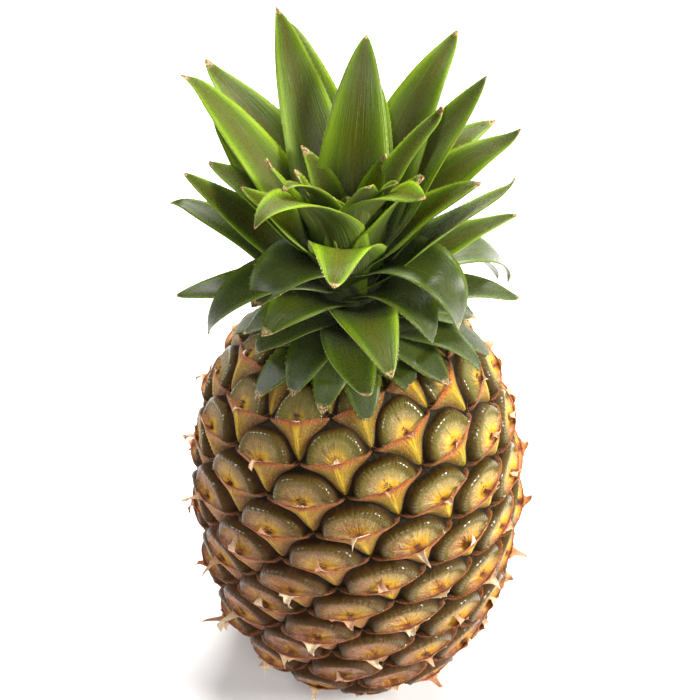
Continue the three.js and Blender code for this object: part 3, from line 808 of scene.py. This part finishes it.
# The crown: stiff waxy leaves rooted in a short stem, in the same spiral as the eyes. Each is a channelled
# blade, clasping at its root and tapering to a sharp dry tip; the lowest lie on the fruit's shoulder.
LEAF_COUNT = 78
LOWEST_LEAF_HEIGHT = 166.5
LEAF_RISE = 0.55
LOWEST_LEAF_AZIMUTH = 4.5
STEM_RADIUS = 14.0
STEM_TAPER = 0.12
ROOT_DEPTH = 5.0
HEART_HEIGHT = 58.0
LEAF_CLEARANCE = 0.6
LAYER_GAP = 0.12
BLADE_MIDDLE = 1.1
BLADE_EDGE = 0.45
TIP_TRIM = 0.15
LEAF_STEPS = 36
LEAF_SIDES = 10
HABITS = {
    0: (-31, 40, 43, 1), 2: (-17, 44, 46, -1), 3: (-20, 40, 38, -3), 5: (-22, 60, 36, -3), 8: (2, 45, 30),
    10: (14, 73, 40), 15: (15, 55, 50), 16: (0, 51, 30, 2), 18: (-15, 30, 34), 20: (-5, 60, 80),
    21: (16, 0, 54, 9), 27: (40, 25, 60), 28: (25, 110, 64), 32: (25, 30, 50), 34: (37, 40, 67),
    35: (45, 0, 66), 36: (35, 15, 52), 37: (39, 70, 35), 39: (59, 141, 41), 40: (45, 0, 60),
    41: (65, 70, 68), 44: (50, 5, 70), 45: (40, 105, 52), 46: (76, 30, 58), 48: (62, 16, 81),
    49: (60, 45, 68), 50: (92, 97, 77), 51: (60, 25, 80, 8), 52: (62, 176, 54, -2), 54: (70, 50, 80),
    55: (66, 71, 76, -5), 56: (55, 35, 76), 57: (55, 20, 49), 58: (50, 124, 36, -1), 59: (80, 35, 70),
    60: (93, 91, 64), 61: (45, 20, 48), 62: (55, 10, 68), 64: (52, -15, 78), 68: (80, 18, 45),
    70: (82, 44, 55), 71: (92, 72, 52), 74: (85, 25, 28), 75: (85, 30, 26), 76: (88, 20, 26),
    77: (83, 58, 28, 2),
}
COVERED = {7, 11, 19, 23, 24, 31, 53, 65, 66, 73}
LOST = {13, 26, 29, 42, 47, 63, 67, 69, 72}
LIME_EDGE = (0.220, 0.345, 0.006, 1)
LEAF_GREEN = (0.086, 0.138, 0.003, 1)
OLD_AND_SHADED_GREEN = (0.034, 0.054, 0.006, 1)
OLIVE_BAND = (0.070, 0.074, 0.003, 1)
BLOOM_GREY = (0.20, 0.25, 0.11, 1)
BASE_GREY_AND_SHADE = (0.080, 0.086, 0.052, 1)
TIP_STRAW = (0.58, 0.42, 0.18, 1)
TIP_BROWN = (0.13, 0.060, 0.022, 1)


def leaf_finish():
    finish, tree, shader = new_finish("waxy leaf")
    along, side, age_and_light = marked(tree, "blade")
    under, dry, chance = marked(tree, "layer")
    coarse = mottle(tree, 45.0, 3.0)
    fine = mottle(tree, 1400.0, 3.0)
    grain = wired(tree, "ShaderNodeCombineXYZ", {0: product(tree, side, 14.0), 1: product(tree, along, 1.2),
                                                 2: chance})
    veins = mottle(tree, 2.4, 4.0, grain.outputs[0])
    out = maths(tree, "ABSOLUTE", side)
    wavering = product(tree, maths(tree, "SUBTRACT", veins, 0.5), 0.5)
    middle = eased(tree, total(tree, out, wavering), 0.66, 0.10)
    # Dark green for old leaves and lighter green for young ones: the share also follows how upright a leaf
    # stands, so it is partly painted light on leaves turned up to the light.
    green = blended(tree, age_and_light, OLD_AND_SHADED_GREEN, LEAF_GREEN)
    banded = product(tree, middle, product(tree, eased(tree, along, 0.10, 0.40, 0.2, 1.0), eased(tree, age_and_light,
                                                                                                 0.1, 0.6,
                                                                                                 0.25, 0.9)))
    upper = blended(tree, banded, green, OLIVE_BAND)
    limed = product(tree, eased(tree, out, 0.55, 1.0), eased(tree, age_and_light, 0.0, 0.7, 0.25, 0.95))
    upper = blended(tree, limed, upper, LIME_EDGE)
    upper = blended(tree, eased(tree, veins, 0.56, 0.76, 0.0, 0.32), upper, LIME_EDGE)
    edged = product(tree, eased(tree, out, 0.90, 1.0), eased(tree, along, 0.45, 0.85, 0.0, 0.7))
    upper = blended(tree, product(tree, edged, eased(tree, coarse, 0.4, 0.6)), upper, TIP_BROWN)
    bloom = product(tree, eased(tree, veins, 0.40, 0.70, 0.10, 0.75), eased(tree, coarse, 0.3, 0.6, 0.5, 1.0))
    lower = blended(tree, bloom, upper, BLOOM_GREY)
    # Greyer and darker toward each leaf's root on its upper face: partly grey bloom, partly painted shade
    # where the leaves crowd together.
    base_bloom_and_shade = eased(tree, total(tree, along, wavering), 0.58, 0.12)
    upper = blended(tree, product(tree, base_bloom_and_shade, 0.85), upper, BASE_GREY_AND_SHADE)
    speck = eased(tree, mottle(tree, 900.0, 2.0), 0.70, 0.76, 0.0, 0.5)
    upper = blended(tree, speck, upper, BLOOM_GREY)
    leaf = blended(tree, under, upper, lower)
    tip = eased(tree, total(tree, dry, product(tree, fine, 0.5)), 0.55, 0.95)
    straw = blended(tree, eased(tree, fine, 0.42, 0.56), TIP_BROWN, TIP_STRAW)
    leaf = blended(tree, tip, leaf, straw)
    tree.links.new(leaf, shader.inputs["Base Color"])
    matt = total(tree, eased(tree, fine, 0.3, 0.7, 0.24, 0.34), product(tree, tip, 0.35))
    matt = total(tree, matt, product(tree, under, 0.14))
    tree.links.new(matt, shader.inputs["Roughness"])
    tree.links.new(eased(tree, age_and_light, 0.75, 0.0, 0.0, 0.32), shader.inputs["Coat Weight"])
    shader.inputs["Coat Roughness"].default_value = 0.3
    shader.inputs["Specular IOR Level"].default_value = 0.24
    shader.inputs["Subsurface Weight"].default_value = 0.08
    shader.inputs["Subsurface Radius"].default_value = (0.001, 0.002, 0.0004)
    shader.inputs["Subsurface Scale"].default_value = 0.6
    rough = total(tree, product(tree, veins, 1.5), product(tree, fine, 0.08))
    relief(tree, shader, rough, 0.0003)
    return finish


def shoulder_height(radius, above):
    """The height that a leaf's face keeps at a radius, to lie on the eyes of the shoulder."""
    upper = SIDE[2] > WIDEST_HEIGHT
    line_radius, height, outward, upward = (line[upper] for line in SIDE[1:])
    thorn = thorn_length(height) * 1.42
    raised = (LIP_HEIGHT * (1 + EYE_VARIATION) + thorn) * relief_share(height) + above
    cut = SHOULDER_CUT + above
    edge = np.minimum(height + raised * upward, cut)
    reach = line_radius + raised * outward
    order = np.argsort(reach)
    lowest = np.interp(radius, reach[order], edge[order], right=-1e9)
    return np.where(radius < FRUIT_RADIUS / 2, np.maximum(lowest, cut), lowest)


def standing_leaves():
    return [leaf for leaf in range(LEAF_COUNT) if leaf not in LOST]


def leaf_habit(leaf):
    lean = -25 + 1.58 * leaf + 6 * drawn(leaf, 11)
    curl = 35 + 25 * drawn(leaf, 12)
    length = 30 + 42 * eased_step(leaf, 0, 48) + 4 * drawn(leaf, 13)
    if leaf in COVERED:
        length *= 0.6
    return (*HABITS.get(leaf, (lean, curl, length)), 3.0 * drawn(leaf, 18))[:4]


def leaf_blade(leaf):
    """A leaf's upper and lower face as grids, root to tip, with what its finish reads."""
    lean, curl, length, sway = leaf_habit(leaf)
    along = np.linspace(0, 1, LEAF_STEPS + 1)
    between = (along[1:] + along[:-1]) / 2
    hook = 35 * drawn(leaf, 15)
    bend = lambda t: np.radians(lean - curl * t ** 1.6 - hook * eased_step(t, 0.88, 1.0))
    step = (length + ROOT_DEPTH - TIP_TRIM) / LEAF_STEPS
    above = LEAF_RISE * leaf
    root = math.radians(lean)
    radius = STEM_RADIUS - STEM_TAPER * above - ROOT_DEPTH * math.cos(root)
    height = LOWEST_LEAF_HEIGHT + above - ROOT_DEPTH * math.sin(root)
    radius = radius + np.concatenate([[0], np.cumsum(step * np.cos(bend(between)))])
    height = height + np.concatenate([[0], np.cumsum(step * np.sin(bend(between)))])
    heading = bend(along)
    width = (17 + 0.19 * leaf) * (1 - 0.58 * eased_step(leaf, 58, 78))
    neck = 0.8 + 0.2 * eased_step(along, 0, 0.35)
    taper = (1 - along ** 2.1) ** 0.8
    half = np.maximum(width * neck * taper, 0.5) / 2
    wrap = np.clip(radius / np.maximum(np.sin(heading), 0.3), STEM_RADIUS, 2 * STEM_RADIUS)
    channel = np.maximum(wrap, 1.3 * half)
    rise = channel - np.sqrt(channel ** 2 - half ** 2)
    side = np.linspace(-1, 1, LEAF_SIDES + 1)[None, :]
    grid = lambda line: line[:, None]
    twist = math.radians(14 * drawn(leaf, 16)) * grid(along) ** 1.5
    wave = 0.35 * np.sin(grid(along) * 11 + 6 * drawn(leaf, 17)) * np.abs(side) ** 3 * side
    azimuth = math.radians(LOWEST_LEAF_AZIMUTH - GOLDEN_ANGLE * leaf)
    faces = []
    for depth in (0.0, 1.0):
        thick = depth * (BLADE_EDGE + (BLADE_MIDDLE - BLADE_EDGE) * (1 - side ** 2) * (1 - 0.6 * grid(along)))
        lift = np.abs(side) ** 1.5 * grid(rise) + side * grid(half) * np.sin(twist) + wave - thick
        spread = grid(radius) - lift * np.sin(grid(heading))
        tall = grid(height) + lift * np.cos(grid(heading))
        sideways = side * grid(half) + sway * grid(along) ** 2
        reach = np.hypot(spread, sideways)
        turned = azimuth + np.arctan2(sideways, spread)
        lowest = shoulder_height(reach,
                                 LEAF_CLEARANCE + LAYER_GAP * leaf + BLADE_MIDDLE - depth * BLADE_MIDDLE)
        tall = np.maximum(tall, lowest)
        faces.append(np.stack([reach * np.sin(turned), -reach * np.cos(turned), tall], -1))
    shape = faces[0].shape[:2]
    dry_length = 3.4 + 2.4 * drawn(leaf, 19)
    dry = np.clip(1 - (1 - along) * length / dry_length, 0, 1)
    spread_out = lambda line: np.broadcast_to(line, shape)
    # The leaf's green share follows both its place in the spiral and how upright it stands: partly age,
    # partly painted light on upright leaves.
    age_and_light = np.clip(min((lean - 0.38 * curl) / 50, (leaf - 10) / 46), 0, 1)
    blade = np.stack([spread_out(grid(along)), spread_out(side), np.full(shape, age_and_light)], -1)
    layer = np.stack([np.zeros(shape), spread_out(grid(dry)), np.full(shape, drawn(leaf, 20) * 7)], -1)
    return faces[0], faces[1], blade, layer


def leaf_edges(leaf):
    """The two margins of a leaf with the way their teeth point."""
    upper, _, _, _ = leaf_blade(leaf)
    ends = []
    for edge, inner in ((0, 1), (-1, -2)):
        line = upper[5:-2, edge]
        outward = unit(line - upper[5:-2, inner])
        forward = unit(np.gradient(line, axis=0))
        ends.append((line - outward * 0.12, unit(outward + 0.9 * forward)))
    return ends


def build_crown_leaves(leaf_coat):
    pattern = shell_faces(LEAF_STEPS + 1, LEAF_SIDES + 1)
    points, faces, blades, layers = [], [], [], []
    for leaf in standing_leaves():
        upper, lower, blade, layer = leaf_blade(leaf)
        beneath = layer.copy()
        beneath[..., 0] = 1
        faces.append(pattern + sum(len(block) for block in points))
        points.append(np.concatenate([upper.reshape(-1, 3), lower.reshape(-1, 3)]))
        blades.append(np.concatenate([blade.reshape(-1, 3)] * 2)[pattern.ravel()])
        layers.append(np.concatenate([layer.reshape(-1, 3), beneath.reshape(-1, 3)])[pattern.ravel()])
    leaves = part_object("crown_leaves", np.concatenate(points), np.concatenate(faces), leaf_coat)
    mark_corners(leaves, "blade", np.concatenate(blades))
    mark_corners(leaves, "layer", np.concatenate(layers))
    turn_outward(leaves)
    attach(leaves, "root")
    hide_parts("crown")


LEAF_COAT = leaf_finish()
build_crown_leaves(LEAF_COAT)

# The crown's stem and heart: the blunt green core that the leaves clasp, closed at the top
# by furled heart leaves.
STEM_SIDES = 90
STEM_RINGS = 40
FURLED_LEAVES = 3
FURL_TWIST = 1.6


def build_stem():
    foot = SHOULDER_CUT + 0.3
    outline = [(0.6, 0.0), (1.0, 0.0), (1.0, 0.3), (0.93, 0.45), (0.85, 0.6), (0.7, 0.74), (0.5, 0.87),
               (0.1, 0.98)]
    talls = np.concatenate([[0.0], np.linspace(0.0, 0.98, STEM_RINGS)])
    wides = np.interp(talls, [tall for _, tall in outline[1:]], [wide for wide, _ in outline[1:]])
    wides[0] = outline[0][0]
    turns = np.linspace(0, 2 * math.pi, STEM_SIDES, endpoint=False)
    points = [[0, 0, foot]]
    marks = [[0.05, 0.0, 0.4]]
    for wide, tall in zip(wides, talls):
        furled = float(eased_step(tall, 0.45, 0.8))
        for turn in turns:
            fold = (turn * FURLED_LEAVES / (2 * math.pi) + tall * FURL_TWIST) % 1
            radius = STEM_RADIUS * wide * (0.9 - furled * 0.35 * (1 - fold) ** 2)
            points.append([radius * math.cos(turn), radius * math.sin(turn), foot + tall * HEART_HEIGHT])
            marks.append([0.1 + 0.5 * furled, fold, 0.8])
    marks.append([0.6, 0.5, 0.8])
    points.append([0, 0, foot + HEART_HEIGHT])
    faces = stack_faces(len(talls), STEM_SIDES)
    stem = part_object("crown_stem", points, faces, LEAF_COAT)
    corners = sum(len(face) for face in faces)
    mark_corners(stem, "blade", [marks[point] for face in faces for point in face])
    mark_corners(stem, "layer", np.zeros((corners, 3)))
    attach(stem, "root")
    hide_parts("crown")


build_stem()

# The leaf teeth: fine hooked prickles along both margins of each leaf, pointing outward and on toward
# the tip. Geometry nodes set one at each step along the margins.
TOOTH_SPACING = 0.0022
TOOTH_SIZE = 0.00045


def tooth_finish():
    finish, tree, shader = new_finish("leaf prickle")
    coarse = mottle(tree, 300.0)
    tree.links.new(graded(tree, coarse, [(0.35, (0.17, 0.27, 0.03, 1)), (0.65, (0.42, 0.33, 0.12, 1))]),
                   shader.inputs["Base Color"])
    shader.inputs["Roughness"].default_value = 0.45
    relief(tree, shader, coarse, 0.0002)
    return finish


def tooth_tree(finish):
    tree, given = group_of("leaf margin prickles", {
        "Spacing": ("NodeSocketFloat", TOOTH_SPACING), "Size": ("NodeSocketFloat", TOOTH_SIZE),
        "Seed": ("NodeSocketInt", 8)})
    margin = wired(tree, "GeometryNodeMeshToCurve", {0: given.outputs["Geometry"]})
    spots = wired(tree, "GeometryNodeResampleCurve", {"Curve": margin.outputs[0],
                                                      "Length": given.outputs["Spacing"]},
                  mode="LENGTH")
    tooth = wired(tree, "GeometryNodeMeshCone", {"Vertices": 4, "Radius Top": 0.0, "Radius Bottom": 0.42,
                                                "Depth": 1.7})
    teeth = scattered(tree, given, spots.outputs[0], tooth.outputs[0], "way", (0.5, 1.2))
    finish_group(tree, teeth, finish)
    return tree


def build_teeth():
    points, edges, ways = [], [], []
    for leaf in standing_leaves():
        for line, way in leaf_edges(leaf):
            start = len(points)
            points += line.tolist()
            ways += way.tolist()
            edges += [(start + step, start + step + 1) for step in range(len(line) - 1)]
    teeth = grown("leaf_teeth", points, edges, {"way": ways}, tooth_tree(tooth_finish()),
                  {"Spacing": TOOTH_SPACING, "Size": TOOTH_SIZE})
    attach(teeth, "root")
    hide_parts("crown")


build_teeth()

# The studio: a plain pale floor, a large soft light above and behind, one to the right, and weak ones to
# the left and in front.
FLOOR_SIDE = 6.0
LIGHT_TARGET = Vector((0, 0, 0.14))
SKY_STRENGTH = 0.10
FLOOR_WHITE = (0.80, 0.80, 0.80, 1)
FLOOR_PATCH = (0.84, 0.84, 0.84, 1)


def build_floor():
    half = FLOOR_SIDE * 500
    finish, tree, shader = new_finish("studio floor")
    coarse = mottle(tree, 2.0)
    tree.links.new(blended(tree, coarse, FLOOR_WHITE, FLOOR_PATCH), shader.inputs["Base Color"])
    shader.inputs["Roughness"].default_value = 0.9
    floor = part_object("floor", [[-half, -half, 0], [half, -half, 0], [half, half, 0], [-half, half, 0]],
                        [[0, 1, 2, 3]], finish, smooth=False)


def area_light(name, place, power, size, colour):
    lamp = bpy.data.lights.new(name, "AREA")
    lamp.energy = power
    lamp.shape = "RECTANGLE"
    lamp.size, lamp.size_y = size
    lamp.color = colour
    made = bpy.data.objects.new(name, lamp)
    made.location = place
    made.rotation_euler = (LIGHT_TARGET - Vector(place)).to_track_quat("-Z", "Y").to_euler()
    bpy.context.scene.collection.objects.link(made)


def build_lights():
    area_light("back light", (0.35, 0.85, 1.05), 52.0, (0.9, 0.45), (1.0, 0.99, 0.97))
    area_light("right light", (1.15, -0.45, 0.85), 34.0, (0.4, 0.6), (1.0, 0.98, 0.95))
    area_light("left light", (-1.1, 0.1, 0.75), 9.0, (0.4, 0.8), (0.97, 0.98, 1.0))
    area_light("front light", (0.25, -1.2, 1.2), 8.0, (0.6, 0.4), (1.0, 0.99, 0.97))
    world = bpy.data.worlds.new("studio")
    world.use_nodes = True
    backdrop = world.node_tree.nodes["Background"]
    backdrop.inputs["Color"].default_value = (1.0, 1.0, 1.0, 1)
    backdrop.inputs["Strength"].default_value = SKY_STRENGTH
    bpy.context.scene.world = world
    bpy.context.scene.view_settings.view_transform = "Standard"


build_floor()
build_lights()

# The camera: above and in front, at the photograph's angle, with the frame turned a little so that
# the pineapple leans to the left as it does there.
CAMERA_TARGET = Vector((0.0, 0.0, 0.097))
CAMERA_DISTANCE = 0.70
CAMERA_ELEVATION = 46.0
CAMERA_ROLL = -1.87
SENSOR_WIDTH = 36.0
FOCAL_LENGTH = 94.75
FRAME_SHIFT = (-0.0086, 0.1603)


def build_camera():
    lens = bpy.data.cameras.new("camera")
    lens.sensor_width = SENSOR_WIDTH
    lens.lens = FOCAL_LENGTH
    lens.shift_x, lens.shift_y = FRAME_SHIFT
    lens.clip_start = 0.01
    camera = bpy.data.objects.new("camera", lens)
    raised = math.radians(CAMERA_ELEVATION)
    place = CAMERA_TARGET + CAMERA_DISTANCE * Vector((0.0, -math.cos(raised), math.sin(raised)))
    aimed = (CAMERA_TARGET - place).to_track_quat("-Z", "Y").to_matrix().to_4x4()
    camera.matrix_world = Matrix.Translation(place) @ aimed @ Matrix.Rotation(math.radians(CAMERA_ROLL), 4,
                                                                              "Z")
    bpy.context.scene.collection.objects.link(camera)
    bpy.context.scene.camera = camera


build_camera()
